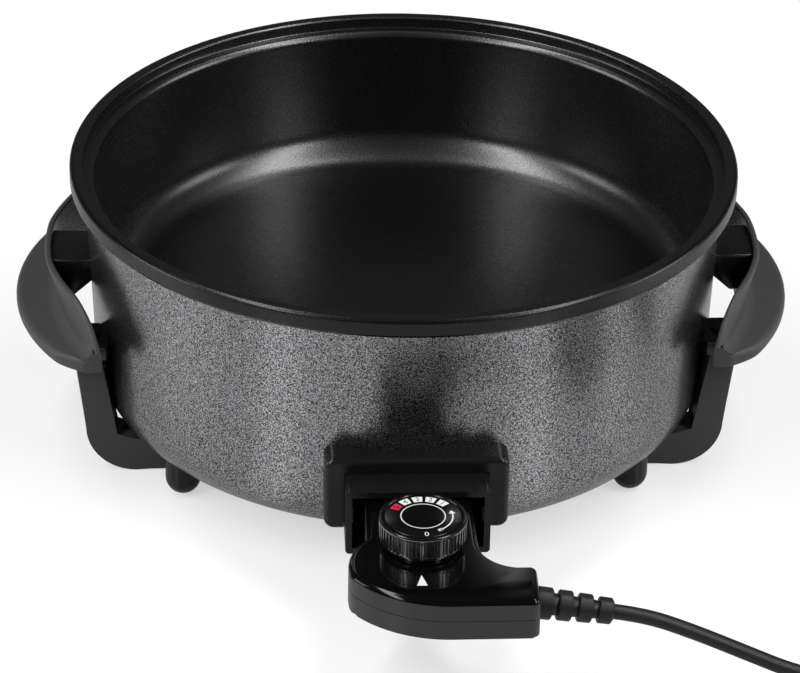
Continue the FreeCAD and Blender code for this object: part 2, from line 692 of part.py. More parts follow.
def caseOutline(sketch):
    """Outside of the controller from above: a nose, a body to the right and a round left cheek."""
    return outline(sketch, [
        ("-noseHalf + 1", "-noseTip"),
        ("-noseHalf", "-neckY"),
        ("-caseLeft", "-caseCornerY + 6", "30", 1),
        ("-caseLeft + 1.6", "-caseCornerY - 3", "9", 1),
        ("frontStart", "-caseFront", "cheekRound", 1),
        ("caseRight - 2", "-caseFront + 0.3"),
        ("caseRight", "-caseFront + 2.3", "2", 1),
        ("caseRight", "-bodyY - 1"),
        ("caseRight - 1", "-bodyY", "1", 1),
        ("noseHalf + neckRound - 1", "-bodyY"),
        ("noseHalf + 0.4", "-neckY - 6", "neckRound + 3", -1),
        ("noseHalf - 1", "-noseTip"),
    ])


def caseBosses():
    return [("-18", "-236"), ("42.4", "-240"), ("19", "-164")]


def caseShell(name, low, high, hollowLow, hollowHigh, bossLow, bossHigh):
    """One half of the controller's housing: a hollow cut from its outline, with screw bosses."""
    drawing = doc.addObject("Sketcher::SketchObject", name + "Outline")
    caseOutline(drawing)
    place(drawing)
    doc.recompute()
    inner = doc.addObject("Part::Offset2D", name + "Inner")
    inner.Source = drawing
    bind(inner, Value="-caseWall")
    solids = []
    for label, source, start, end in (("Outer", drawing, low, high), ("Hollow", inner, hollowLow, hollowHigh)):
        solid = doc.addObject("Part::Extrusion", name + label)
        solid.Base = source
        solid.DirMode = "Custom"
        solid.Dir = V(0, 0, 1)
        solid.Solid = True
        bind(solid, LengthFwd="%s - (%s)" % (end, start), Placement__Base__z=start)
        solids.append(solid)
    shell = cut(name + "Shell", solids[0], solids[1])
    bosses = [rod("%sBoss%d" % (name, i), "bossRadius", "%s - (%s)" % (bossHigh, bossLow), x, y, bossLow)
              for i, (x, y) in enumerate(caseBosses())]
    return fuse(name + "Bossed", [shell] + bosses)


def controllerCase():
    upper = caseShell("upper", "caseSplit", "caseTop", "caseSplit - 1", "caseTop - caseWall",
                      "caseSplit", "caseTop - caseWall / 2")
    lower = caseShell("lower", "caseBottom", "caseSplit", "caseBottom + caseWall", "caseSplit + 1",
                      "caseBottom + caseWall / 2", "caseSplit")
    upperTools = [
        rod("caseShaftHole", "bushRadius + fitClear", "10", "0", "-knobY", "caseTop - 5"),
        rod("caseProbeHole", "probeRadius + holeClear", "6", "0", "-noseTip + 2", "probeHeight", forward),
    ]
    lowerTools = []
    for index, (x, y) in enumerate(caseBosses()):
        upperTools.append(rod("upperBore%d" % index, "caseScrew + holeClear / 2", "8", x, y, "caseSplit - 1"))
        lowerTools.append(rod("lowerBore%d" % index, "caseScrew + holeClear", "12", x, y, "caseBottom - 1"))
        lowerTools.append(rod("lowerSink%d" % index, "caseScrewHead + holeClear", "3", x, y, "caseBottom - 1"))
    for side in (-1, 1):
        lowerTools.append(rod("casePinHole%d" % (side + 1), "pinRadius + holeClear", "6",
                              "%d * pinSpacing / 2" % side, "-noseTip + 2", "pinHeight", forward))
    keep("controller_upper_case", cut("upperCase", upper, fuse("upperTools", upperTools)))
    keep("controller_lower_case", cut("lowerCase", lower, fuse("lowerTools", lowerTools)))
    screws = []
    for index, (x, y) in enumerate(caseBosses()):
        shank = rod("caseScrewShank%d" % index, "caseScrew", "13", x, y, "caseBottom + 0.6")
        head = rod("caseScrewHead%d" % index, "caseScrewHead", "1.4", x, y, "caseBottom + 0.5")
        screws.append(fuse("caseScrew%d" % index, [shank, head]))
    keep("case_screws", group("caseScrews", screws))


def controllerWorks():
    """Contacts, probe and switch inside the controller."""
    for side, name in ((-1, "left"), (1, "right")):
        x = "%d * pinSpacing / 2" % side
        outer = rod("contactOuter" + name, "pinRadius + 0.9", "24", x, "-noseTip - caseWall - 0.4", "pinHeight", forward)
        bore = rod("contactBore" + name, "pinRadius + fitClear", "22", x, "-noseTip - caseWall + 1", "pinHeight", forward)
        keep("contact_sleeve_" + name, cut("contact" + name, outer, bore))
    probe = rod("probeRod", "probeRadius", "190 - probeTip", "0", "-probeTip", "probeHeight", forward)
    keep("probe_tube", probe)
    frame = block("framePlate", "-6", "-204", "caseBottom + caseWall", "12", "14", "1.2")
    upright = block("frameUpright", "-6", "-191.5", "caseBottom + caseWall", "12", "1.5",
                    "probeHeight - probeRadius - caseBottom - caseWall")
    keep("thermostat_frame", fuse("thermostatFrame", [frame, upright]))
    keep("ceramic_post", rod("ceramicPost", "4", "4", "0", "-200", "caseBottom + caseWall + 1.2"))
    keep("contact_blade", block("contactBlade", "-3", "-232", "caseBottom + caseWall + 5.2", "6", "36", "0.5"))
    keep("bimetal_blade", block("bimetalBlade", "-3.5", "-228", "caseBottom + caseWall + 7.4", "7", "36", "0.9"))
    rivets = [rod("rivetLow", "1.8", "0.8", "0", "-224", "caseBottom + caseWall + 5.7"),
              rod("rivetHigh", "1.8", "0.8", "0", "-224", "caseBottom + caseWall + 6.6")]
    keep("contact_rivets", group("contactRivets", rivets))
    keep("blade_spacer", rod("bladeSpacer", "3", "1.7", "0", "-200", "caseBottom + caseWall + 5.7"))
    bush = rod("bushOuter", "bushRadius", "bushHeight", "0", "-knobY", "caseTop - bushHeight")
    bore = rod("bushBore", "shaftRadius + fitClear", "10", "0", "-knobY", "caseTop - 8")
    keep("shaft_bush", cut("shaftBush", bush, bore))
    keep("cord_clamp", block("cordClamp", "31", "-257", "caseBottom + caseWall", "6", "18", "4"))


def knob():
    """Turned thermostat knob: a skirt with grip flats over a narrower neck, on its own shaft."""
    body = newBody("knobBody")
    sketch = newSketch(body, "knobProfile", "XZ_Plane", "knobY")
    neckFoot = "caseTop + knobGap"
    outline(sketch, [
        ("shaftRadius + fitClear", "knobTop - 5"),
        ("shaftRadius + fitClear", neckFoot),
        ("knobNeck", neckFoot),
        ("knobNeck", "knobSkirt"),
        ("knobRadius - 1", "knobSkirt"),
        ("knobRadius", "knobSkirt + 1"),
        ("knobRadius", "knobTop - 1.2"),
        ("knobRadius - 1.2", "knobTop", "1.2", 1),
        ("dialRadius + fitClear * 2", "knobTop"),
        ("dialRadius + fitClear * 2", "knobTop - dialWall"),
        ("0", "knobTop - dialWall"),
        ("0", "knobTop - 5"),
    ])
    revolve(body, sketch)
    keep("knob", body)
    keep("dial_disc", rod("dialDisc", "dialRadius", "dialWall", "0", "-knobY", "knobTop - dialWall"))
    shaft = rod("shaftRod", "shaftRadius", "knobTop - 5 - shaftFoot", "0", "-knobY", "shaftFoot")
    cam = rod("shaftCam", "camRadius", "camHeight", "1.2", "-knobY", "camBottom + 1")
    keep("knob_shaft", fuse("knobShaft", [shaft, cam]))


def strainRelief():
    """Moulded sleeve with two grooves, leaving the housing's right end and pointing a little down."""
    body = newBody("relief")
    sketch = newSketch(body, "reliefProfile", "XZ_Plane")
    steps = [("0", "reliefRoot"), ("9", "reliefRoot - 0.4"), ("9.5", "reliefRoot - 2"), ("12", "reliefRoot - 2"),
             ("12.5", "reliefRoot - 0.6"), ("20", "reliefRoot - 0.9"), ("20.5", "reliefRoot - 2.4"),
             ("23", "reliefRoot - 2.5"), ("23.5", "reliefEnd + 0.2"), ("reliefLength", "reliefEnd")]
    outline(sketch, [("-4", "0"), ("reliefLength", "0")] + steps[::-1] + [("-4", "reliefRoot")])
    revolve(body, sketch, "H_Axis")
    body.Placement = FreeCAD.Placement(V(), FreeCAD.Rotation(V(0, 1, 0), num("reliefTilt")))
    place(body, "caseRight", "-reliefY", "reliefZ")
    wall = block("reliefTrim", "caseRight - 20", "-reliefY - 20", "reliefZ - 20", "20", "40", "40")
    keep("strain_relief", cut("strainRelief", body, wall))


# The lead's route: out of the sleeve, down to the surface and along it towards the coil.
leadPoints = [(83.88, -247.5, 40.38), (98.7, -247.5, 38.04), (121, -248, 29), (144, -249, 18.5),
              (166, -251, 9), (187, -253, 4.4), (208, -254.1, 4.4)]


def biarc(start, way, end, endWay):
    """Two tangent arcs from one point and direction to another."""
    span = end - start
    both = way + endWay
    loose = 2 * (1 - way.dot(endWay))
    reach = (-span.dot(both) + math.sqrt(span.dot(both) ** 2 + loose * span.dot(span))) / loose
    corners = (start + way * reach, end - endWay * reach)
    joint = (corners[0] + corners[1]) * 0.5
    arcs = []
    for first, corner, last in ((start, corners[0], joint), (joint, corners[1], end)):
        weight = (last - first).Length / 2 / (corner - first).Length
        middle = (first + corner * (2 * weight) + last) * (1 / (2 + 2 * weight))
        arcs.append(arcOf(first, middle, last))
    return arcs


coilTurns = 4.25
coilReverse = 2.25


def coilPlace(centre, turn):
    """Point on the coil after so many turns: in on the lower layer, up a layer, and out again."""
    inward = turn if turn < coilReverse else 2 * coilReverse - turn
    radius = num("coilRadius") - num("coilPitch") * inward
    share = min(max((turn - coilReverse) * 2 + 0.5, 0), 1)
    height = num("coilLayer") * (share - math.sin(2 * math.pi * share) / (2 * math.pi))
    angle = 2 * math.pi * turn - math.pi / 2
    return centre + V(radius * math.cos(angle), radius * math.sin(angle), height)


def coilWay(turn):
    """Direction of the coil's middle line after so many turns."""
    low = max(turn - 1e-4, 0)
    high = min(turn + 1e-4, coilTurns)
    return (coilPlace(V(), high) - coilPlace(V(), low)).normalize()


def cordRun():
    entry = V(*leadPoints[-1]) + coilWay(0) * 20
    keep("cord_run", pipe("cordRun", roundedWire([V(*p) for p in leadPoints] + [entry], "lead"), num("cordRadius")))
    return entry


def cordCoil(entry):
    """Unseen lead wound two layers high, as one tube."""
    straight = num("cordRadius") * 2
    begin = entry + coilWay(0) * straight
    centre = begin - coilPlace(V(), 0)
    steps = 17
    turns = [coilTurns * step / steps for step in range(steps + 1)]
    edges = [Part.LineSegment(entry, begin).toShape()]
    for first, last in zip(turns, turns[1:]):
        edges += biarc(coilPlace(centre, first), coilWay(first), coilPlace(centre, last), coilWay(last))
    end = coilPlace(centre, coilTurns)
    tail = end + coilWay(coilTurns) * straight
    edges.append(Part.LineSegment(end, tail).toShape())
    wire = Part.Wire(edges)
    samples = [coilPlace(centre, coilTurns * i / 900) for i in range(901)]
    gap = min((samples[i] - samples[j]).Length for i in range(901) for j in range(i + 120, 901))
    print("coil least gap to itself %.2f" % (gap - straight), "centre", centre, "end", tail)
    keep("cord_coil", pipe("cordCoil", wire, num("cordRadius")))
    return centre, tail


def coilTie(centre):
    """Flat band round the four strands on the coil's left side."""
    inner = "coilRadius - coilPitch * 1.75 - cordRadius - 0.9"
    outer = "coilRadius - coilPitch * 0.75 + cordRadius + 0.5"
    top = "%s + coilLayer + cordRadius + 0.3" % centre.z
    whole = block("tieOuter", "%s - (%s) - tieWall" % (centre.x, outer), "%s - tieWidth / 2" % centre.y, "0",
                  "(%s) - (%s) + 2 * tieWall" % (outer, inner), "tieWidth", "%s + tieWall" % top)
    hole = block("tieInner", "%s - (%s)" % (centre.x, outer), "%s - tieWidth" % centre.y, "tieWall",
                 "(%s) - (%s)" % (outer, inner), "tieWidth * 2", "%s - tieWall" % top)
    keep("coil_tie", cut("coilTie", whole, hole))


def plug(tail):
    """Moulded two-pin mains plug lying on its round head beside the coil."""
    neck = V(tail.x + 0.3, tail.y + 66, num("plugRadius"))
    route = [tail, tail + coilWay(coilTurns) * 14, V(tail.x + 0.7, tail.y + 33, tail.z + 2.3),
             V(neck.x, tail.y + 52, neck.z), neck]
    keep("cord_tail", pipe("cordTail", roundedWire(route, "tail"), num("cordRadius")))
    body = newBody("plugBody")
    sketch = newSketch(body, "plugProfile", "XZ_Plane")
    grip = "plugNeck + plugGrip"
    outline(sketch, [
        ("0", "0"),
        (grip + " + plugHead", "0"),
        (grip + " + plugHead", "plugRadius - 1"),
        (grip + " + plugHead - 1", "plugRadius", "1", 1),
        (grip + " + 2", "plugRadius"),
        (grip, "plugRadius - 2", "2", 1),
        (grip + " - 2", "plugRadius - 5.5"),
        ("plugNeck + 4", "plugRadius - 8"),
        ("plugNeck", "plugRadius - 11"),
        ("0", "cordRadius + 1.8"),
    ])
    revolve(body, sketch, "H_Axis")
    body.Placement = FreeCAD.Placement(V(), FreeCAD.Rotation(V(0, 0, 1), 90))
    keep("plug_body", place(body, neck.x, neck.y, "plugRadius"))
    face = "%s + %s + plugHead" % (neck.y, grip)
    pins = []
    for side in (-1, 1):
        name = "plugPin%d" % (side + 1)
        x = "%s + %d * plugPinSpacing / 2" % (neck.x, side)
        shank = rod(name + "Shank", "plugPinRadius", "plugPinLength - plugPinRadius", x, face, "plugRadius",
                    ((1, 0, 0), -90))
        tip = doc.addObject("Part::Sphere", name + "Tip")
        bind(tip, Radius="plugPinRadius")
        place(tip, x, face + " + plugPinLength - plugPinRadius", "plugRadius")
        pins.append(fuse(name, [shank, tip]))
    keep("plug_pins", group("plugPins", pins))


def buildAll():
    innerPan()
    form = shellForm()
    outerShell()
    basePlate()
    studs()
    heatParts()
    heatingElement()
    socketPins()
    probeSleeve()
    socketCollar()
    socketGuard(form)
    for side, name in ((-1, "left"), (1, "right")):
        handle(side, name, form)
        leg(side, name, form)
    sideScrews()
    feet(form)
    controllerCase()
    controllerWorks()
    knob()
    strainRelief()
    centre, tail = cordCoil(cordRun())
    coilTie(centre)
    plug(tail)


def checkAndWrite():
    doc.recompute()
    failed = [item.Name for item in doc.Objects if "Invalid" in item.State or "Error" in item.State]
    for label, item in parts.items():
        if item.Shape.isNull() or not item.Shape.isValid() or not item.Shape.Solids:
            failed.append(label)
    if failed:
        raise RuntimeError("failed: " + ", ".join(failed))
    os.makedirs("parts", exist_ok=True)
    for label, item in parts.items():
        item.Shape.exportStep("parts/%s.step" % label)
    print(len(parts), "parts written")


buildAll()
checkAndWrite()
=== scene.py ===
import json
import math

import bmesh
import bpy
from mathutils import Matrix, Vector


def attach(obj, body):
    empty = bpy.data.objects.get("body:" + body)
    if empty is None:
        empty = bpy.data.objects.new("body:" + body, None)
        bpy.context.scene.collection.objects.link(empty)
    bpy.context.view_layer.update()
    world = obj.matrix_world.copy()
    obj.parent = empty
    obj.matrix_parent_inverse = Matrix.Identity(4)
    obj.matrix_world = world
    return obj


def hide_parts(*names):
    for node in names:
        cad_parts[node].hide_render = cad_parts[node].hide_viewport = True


# A round electric skillet seen from above and in front, on a white surface.
# Lengths in the dictionaries are millimetres: x and y from the pan's own axis, heights from the surface.

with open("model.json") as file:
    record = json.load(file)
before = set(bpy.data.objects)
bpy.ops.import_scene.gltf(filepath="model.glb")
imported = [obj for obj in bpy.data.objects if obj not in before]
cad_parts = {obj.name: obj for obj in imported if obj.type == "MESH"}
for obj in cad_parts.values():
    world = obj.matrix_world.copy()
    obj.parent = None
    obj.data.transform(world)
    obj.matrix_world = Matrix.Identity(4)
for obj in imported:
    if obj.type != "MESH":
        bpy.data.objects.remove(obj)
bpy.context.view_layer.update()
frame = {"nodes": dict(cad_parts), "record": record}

mm = 0.001
panAxisY = 49.5  # the pan's axis stands this far behind the frame's
up = Vector((0, 0, 1))


def place(x, y, z):
    return Vector((x, y + panAxisY, z)) * mm


def linear(colour):
    values = [int(colour[i:i + 2], 16) / 255 for i in (0, 2, 4)]
    return [v / 12.92 if v <= 0.04045 else ((v + 0.055) / 1.055) ** 2.4 for v in values] + [1]


# Materials

def newMaterial(name, colour, roughness, metallic=0, **sockets):
    # Plain surface. Underscores in a socket's name stand for spaces.
    material = bpy.data.materials.new(name)
    material.use_nodes = True
    shader = material.node_tree.nodes["Principled BSDF"]
    shader.inputs["Base Color"].default_value = linear(colour)
    shader.inputs["Roughness"].default_value = roughness
    shader.inputs["Metallic"].default_value = metallic
    for socket, value in sockets.items():
        shader.inputs[socket.replace("_", " ")].default_value = value
    return material, shader


def addNode(material, kind, inputs=(), **settings):
    # Adds a node, sets its properties, and fills or links its inputs.
    node = material.node_tree.nodes.new(kind)
    for name, value in settings.items():
        setattr(node, name, value)
    for name, value in dict(inputs).items():
        if isinstance(value, bpy.types.NodeSocket):
            material.node_tree.links.new(value, node.inputs[name])
        else:
            node.inputs[name].default_value = value
    return node


def roughen(material, shader, size, low, high, bump=0):
    # Uneven gloss, and a little relief where bump is given, at a grain of so many millimetres.
    point = addNode(material, "ShaderNodeTexCoord").outputs["Object"]
    noise = addNode(material, "ShaderNodeTexNoise", {"Vector": point, "Scale": 1 / (size * mm), "Detail": 2})
    spread = addNode(material, "ShaderNodeMapRange", {"Value": noise.outputs["Fac"], "From Min": 0.3,
                                                      "From Max": 0.7, "To Min": low, "To Max": high})
    material.node_tree.links.new(spread.outputs["Result"], shader.inputs["Roughness"])
    if bump:
        relief = addNode(material, "ShaderNodeBump",
                         {"Height": noise.outputs["Fac"], "Distance": bump * mm, "Strength": 1})
        material.node_tree.links.new(relief.outputs["Normal"], shader.inputs["Normal"])


def nonstickCoating(name, sheen):
    # Sprayed and baked non-stick coating: near-black, satin, with a fine grain that breaks up highlights.
    material, shader = newMaterial(name, "020203", 0.28, Specular_IOR_Level=sheen)
    roughen(material, shader, 0.9, 0.25, 0.31, bump=0.05)
    return material


paint = {"base": "4a4a4c", "dark": "363637", "pale": "b0b0b2", "grain": 0.65, "relief": 0.05, "from": 0.38,
         "to": 0.66}


def hammeredPaint():
    # Baked hammer-finish paint on pressed steel: fine pale specks on dark grey with a pebbled relief.
    p = paint
    material, shader = newMaterial("hammerFinishPaint", p["base"], 0.23, metallic=0.95)
    point = addNode(material, "ShaderNodeTexCoord").outputs["Object"]
    noise = addNode(material, "ShaderNodeTexNoise", {"Vector": point, "Scale": 1 / (p["grain"] * mm),
                                                     "Detail": 1, "Roughness": 0.6})
    speck = addNode(material, "ShaderNodeMapRange", {"Value": noise.outputs["Fac"], "From Min": p["from"],
                                                     "From Max": p["to"], "To Min": 0, "To Max": 1})
    colour = addNode(material, "ShaderNodeMix", {0: speck.outputs["Result"], 6: linear(p["dark"]),
                                                 7: linear(p["pale"])}, data_type="RGBA")
    relief = addNode(material, "ShaderNodeBump",
                     {"Height": noise.outputs["Fac"], "Distance": p["relief"] * mm, "Strength": 1})
    material.node_tree.links.new(colour.outputs[2], shader.inputs["Base Color"])
    material.node_tree.links.new(relief.outputs["Normal"], shader.inputs["Normal"])
    return material


def satinBlack(name, colour, low, high, grain=1.2, bump=0.03):
    material, shader = newMaterial(name, colour, (low + high) / 2, Specular_IOR_Level=0.3)
    roughen(material, shader, grain, low, high, bump)
    return material


def metal(name, colour, roughness, grain=0.6):
    material, shader = newMaterial(name, colour, roughness, metallic=1)
    roughen(material, shader, grain, roughness * 0.85, roughness * 1.15)
    return material


def makeMaterials():
    glossBlack, shader = newMaterial("polishedMouldedPlastic", "050506", 0.1, Specular_IOR_Level=0.22)
    roughen(glossBlack, shader, 6, 0.08, 0.13)
    return {
        # Sprayed coating inside the pan and over its rim: dull black with soft highlights.
        "nonstick_coating": nonstickCoating("sprayedNonstickCoating", 0.9),
        # The same coating with less shine on the outside of the rim: painted shade, so that this band mirrors less
        # of the bright floor.
        "rimCoating": nonstickCoating("thinNonstickCoating", 0.35),
        # Hammer-finish paint on the shell: the pale speckle seen all over its side.
        "hammered_paint": hammeredPaint(),
        # Compression-moulded phenolic straight from a matte mould on the handles and legs: an even dark grey,
        # lighter than the same phenolic on the guard, a painted reflection of the bright surroundings.
        "black_phenolic": satinBlack("mouldedPhenolic", "404041", 0.42, 0.52),
        # The same phenolic from a polished mould: black between soft highlights on the guard and collar. The
        # handles' faces towards the shell, their brackets and heels and the four feet take it too, as painted
        # shade.
        "polishedPhenolic": satinBlack("polishedPhenolic", "111112", 0.24, 0.31, bump=0.008),
        # Blackened steel on the screws that face the cook: dark, with a dull metal edge.
        "blackSteel": metal("blackOxideSteel", "2a2a2c", 0.4),
        # Injection-moulded housing with a polished top that mirrors the knob.
        "black_case": glossBlack,
        # The housing's sides and lower half: a little duller, and a dark grey lighter than the top's black,
        # painted light for the light that the sides take from the front.
        "caseSide": satinBlack("satinMouldedPlastic", "303031", 0.3, 0.4, grain=2, bump=0.01),
        # Soft vinyl extruded over the lead and moulded on the plug: matte black with a faint sheen.
        "black_rubber": satinBlack("extrudedVinyl", "161617", 0.38, 0.48),
        # Moulded nylon tie round the coil: black with a low sheen.
        "black_tie": satinBlack("mouldedNylon", "101011", 0.4, 0.5),
        # Vacuum-plated plastic on the knob's rim and ribs: dark mirror with bright streaks.
        "chromed_knob": metal("darkVacuumPlating", "8a8a8d", 0.22),
        # Lacquered disc and digits: smooth black that holds one clean highlight.
        "dial_print": newMaterial("lacqueredKnobTop", "060607", 0.2, Specular_IOR_Level=0.35)[0],
        # Screen-printed inks: flat white and red with little gloss.
        "print": newMaterial("whiteScreenPrint", "cfcfcd", 0.45)[0],
        "redPrint": newMaterial("redScreenPrint", "b81c30", 0.45)[0],
        # Zinc-plated screws and plates: pale grey, faintly brushed.
        "zinc_steel": metal("zincPlatedSteel", "b4b5b8", 0.34),
        # Cast heat plate: pale grey and dull, with a coarse grain.
        "cast_aluminium": metal("castAluminium", "b9babc", 0.46, grain=1.5),
        # Rolled sheet with an aluminium coat: bright and a little cloudy.
        "aluminised_steel": metal("aluminisedSheet", "c4c5c8", 0.3, grain=2),
        # Drawn element sheath that has been hot: brownish grey.
        "element_steel": metal("heatTintedSteel", "4b4642", 0.5, grain=3),
        # Nickel-plated pins: warm bright metal.
        "nickel_pin": metal("nickelPlate", "c9c5bd", 0.2),
        # Turned contact sleeves: clean yellow metal.
        "brass_sleeve": metal("turnedBrass", "c8a45a", 0.28),
        # Rolled springs and blades, gone brown and dull with age.
        "spring_brass": metal("tarnishedSpringBrass", "4c4230", 0.5),
        # Glazed post: off-white with a soft gloss.
        "white_ceramic": newMaterial("glazedPorcelain", "e6e4dc", 0.35)[0],
    }


materials = makeMaterials()
slotOf = {part["node"]: part["material_slot"] for part in frame["record"]["subparts"]}

# Parts whose finish differs from the one that their slot is named for.
finishOf = {"handle_screws": "blackSteel", "leg_screws": "blackSteel", "socket_guard": "polishedPhenolic",
            "socket_collar": "polishedPhenolic"}
# The feet take the darker phenolic: painted shade under the shell.
for corner in ("front_left", "front_right", "rear_left", "rear_right"):
    finishOf["foot_" + corner] = "polishedPhenolic"

for name, node in frame["nodes"].items():
    node.data.materials.clear()
    node.data.materials.append(materials[finishOf.get(name, slotOf[name])])
print("materials done")


# Shape helpers

def makePiece(name, bm, body, slot, nodes=(), angle=35, second=None):
    # Turns a bmesh in millimetres round the pan's axis into a piece, which may stand for CAD nodes.
    bmesh.ops.transform(bm, matrix=Matrix.Scale(mm, 4) @ Matrix.Translation((0, panAxisY, 0)), verts=bm.verts)
    bmesh.ops.recalc_face_normals(bm, faces=bm.faces)
    mesh = bpy.data.meshes.new(name)
    bm.to_mesh(mesh)
    bm.free()
    mesh.materials.append(materials[slot])
    if second:
        mesh.materials.append(materials[second])
    mesh.shade_smooth()
    mesh.set_sharp_from_angle(angle=math.radians(angle))
    piece = bpy.data.objects.new(name, mesh)
    bpy.context.scene.collection.objects.link(piece)
    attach(piece, body)
    if nodes:
        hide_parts(*nodes)


def refinish(faces):
    # Gives faces the second material of their piece.
    for face in faces:
        face.material_index = 1


def polar(centre, radius, angle):
    return centre[0] + radius * math.cos(angle), centre[1] + radius * math.sin(angle)


def arcPoints(centre, radius, first, last, count):
    # Points on an arc, from one angle in degrees to another.
    return [polar(centre, radius, math.radians(first + (last - first) * i / count)) for i in range(count + 1)]


def arcTo(start, end, radius, side, count):
    # Points after start on an arc to end. Its centre is on the left for side 1, on the right for side -1.
    a = Vector(start)
    b = Vector(end)
    half = (b - a) / 2
    rise = math.sqrt(max(radius * radius - half.length_squared, 0))
    centre = (a + b) / 2 + Vector((-half.y, half.x)).normalized() * rise * side
    first = math.atan2(a.y - centre.y, a.x - centre.x)
    turn = 2 * math.pi * side
    sweep = (math.atan2(b.y - centre.y, b.x - centre.x) - first + turn) % turn
    return [polar(centre, radius, first + sweep * i / count) for i in range(1, count + 1)]


def spun(profile, steps, centre=(0, 0)):
    # Turns a profile of radius and height round an upright axis. One that starts off the axis is closed first.
    bm = bmesh.new()
    verts = [bm.verts.new((centre[0] + r, centre[1], z)) for r, z in profile]
    edges = [bm.edges.new(pair) for pair in zip(verts, verts[1:])]
    if profile[0][0] > 0:
        edges.append(bm.edges.new((verts[-1], verts[0])))
    bmesh.ops.spin(bm, geom=verts + edges, cent=(*centre, 0), axis=up, angle=2 * math.pi, steps=steps,
                   use_merge=True)
    bmesh.ops.remove_doubles(bm, verts=bm.verts, dist=1e-5)
    return bm


def lofted(bm, sections):
    # Solid through flat sections of equally many points. Gives back its first and its last face.
    rings = [[bm.verts.new(point) for point in section] for section in sections]
    for before, after in zip(rings, rings[1:]):
        for i in range(len(before)):
            bm.faces.new((before[i - 1], before[i], after[i], after[i - 1]))
    return bm.faces.new(rings[0][::-1]), bm.faces.new(rings[-1])


def roundEdges(bm, edges, radius, segments=3):
    bmesh.ops.bevel(bm, geom=list(edges), offset=radius, segments=segments, profile=0.5, affect="EDGES",
                    material=-1, clamp_overlap=True)


# Pan and shell

pan = {"rimTop": 142, "rimRadius": 163, "rimRound": 2.2, "bandBottom": 133, "bandChamfer": (0.7, 1.2),
       "beadInner": 156.4, "beadRound": 1.2, "ledge": 136, "ledgeRound": 0.5, "ledgeInner": 152.5, "ledgeLip": 0.6,
       "shoulder": 4.6, "shoulderDrop": 4, "wallTop": 150.5, "wallFoot": 147.5, "flare": (0.6, 10), "floor": 66,
       "flat": 60, "corner": 17.5, "wall": 2.6, "steps": 192,
       "thinCoat": (132.5, 161.4)}  # the band of painted shade starts above this height and outside this radius


def makePan():
    p = pan
    centre = (p["wallFoot"] - p["corner"], p["floor"] + p["corner"])
    rim, bead, ledge = p["rimRound"], p["beadRound"], p["ledgeRound"]
    profile = [(0, p["floor"] - p["wall"])]
    profile += arcPoints(centre, p["corner"] + p["wall"], -90, 0, 10)
    profile += [(p["wallTop"] + p["wall"], p["bandBottom"]),
                (p["rimRadius"] - p["bandChamfer"][0], p["bandBottom"]),
                (p["rimRadius"], p["bandBottom"] + p["bandChamfer"][1])]
    profile += arcPoints((p["rimRadius"] - rim, p["rimTop"] - rim), rim, 0, 90, 8)
    profile += arcPoints((p["beadInner"] + bead, p["rimTop"] - bead), bead, 90, 180, 6)
    profile += arcPoints((p["beadInner"] - ledge, p["ledge"] + ledge), ledge, 0, -90, 3)
    profile += [(p["ledgeInner"] + p["ledgeLip"], p["ledge"])]
    profile += arcTo((p["ledgeInner"], p["ledge"]), (p["wallTop"], p["ledge"] - p["shoulderDrop"]),
                     p["shoulder"], 1, 8)
    profile += [(p["wallFoot"] + p["flare"][0], centre[1] + p["flare"][1])]
    profile += arcPoints(centre, p["corner"], 0, -90, 16)
    profile += [(p["flat"], p["floor"]), (0, p["floor"])]
    bm = spun(profile, p["steps"])
    # The rim's outer band gets the less shiny copy: painted shade.
    above, outside = p["thinCoat"]
    refinish(face for face in bm.faces
             if face.calc_center_median().z > above and face.calc_center_median().xy.length > outside)
    makePiece("pan", bm, "base", "nonstick_coating", ["inner_pan"], angle=30, second="rimCoating")


shell = {"topRadius": 156, "footRadius": 152.4, "top": 133, "corner": 26.6, "lift": 13, "opening": 98, "wall": 1,
         "steps": 192}


def makeShell():
    s = shell
    centre = (s["footRadius"] - s["corner"], s["lift"] + s["corner"])
    profile = [(s["topRadius"], s["top"])]
    profile += arcPoints(centre, s["corner"], 0, -90, 18)
    profile += [(s["opening"], s["lift"]), (s["opening"], s["lift"] + s["wall"])]
    profile += arcPoints(centre, s["corner"] - s["wall"], -90, 0, 12)
    profile += [(s["topRadius"] - s["wall"], s["top"])]
    makePiece("shell", spun(profile, s["steps"]), "base", "hammered_paint", ["outer_shell"], angle=30)


makePan()
makeShell()
print("pan and shell done")


# Handles and legs

# The flange's edge and the wall's foot are arcs through their middle and ends. A triple starts at one distance
# from the middle, grows over another and reaches its last number there.
grip = {"reach": 191, "half": 77, "flangeEnd": 163, "bottom": 65.4, "top": 72.4, "foot": 166, "footEnd": 147,
        "wallTop": 96.4, "wall": 3.2, "wallDrop": (52, 25, 20), "tipCut": (66, 11, 7), "lean": (20, 50, 7),
        "leanPower": 1.2, "valley": 1.2, "valleyRound": 6, "footRound": 1, "lowRound": 2.4, "highRound": 3,
        "wallOuter": 1.4, "wallInner": 1.2, "stations": 26, "endRound": 1.1, "facesShell": 0.6,
        "bracket": [(151, 83.5), (151, 93), (174, 93.5), (168, 74), (162, 73.5)], "bracketHalf": 16,
        "bracketRound": 1.4, "heelRound": 1, "heelInset": 0.1, "polishedWithin": (150, 67),
        "heel": [(145.5, -66), (143.6, -60), (145.6, -44), (148.5, -40), (157, -40), (157, -66)]}


def arcReach(middle, end, half, y):
    # How far out an arc through two ends and its middle stands at y.
    radius = (half * half + (middle - end) ** 2) / (2 * (middle - end))
    return middle - radius + math.sqrt(radius * radius - y * y)


def grown(change, y, power=2):
    start, over, amount = change
    return amount * (max(abs(y) - start, 0) / over) ** power


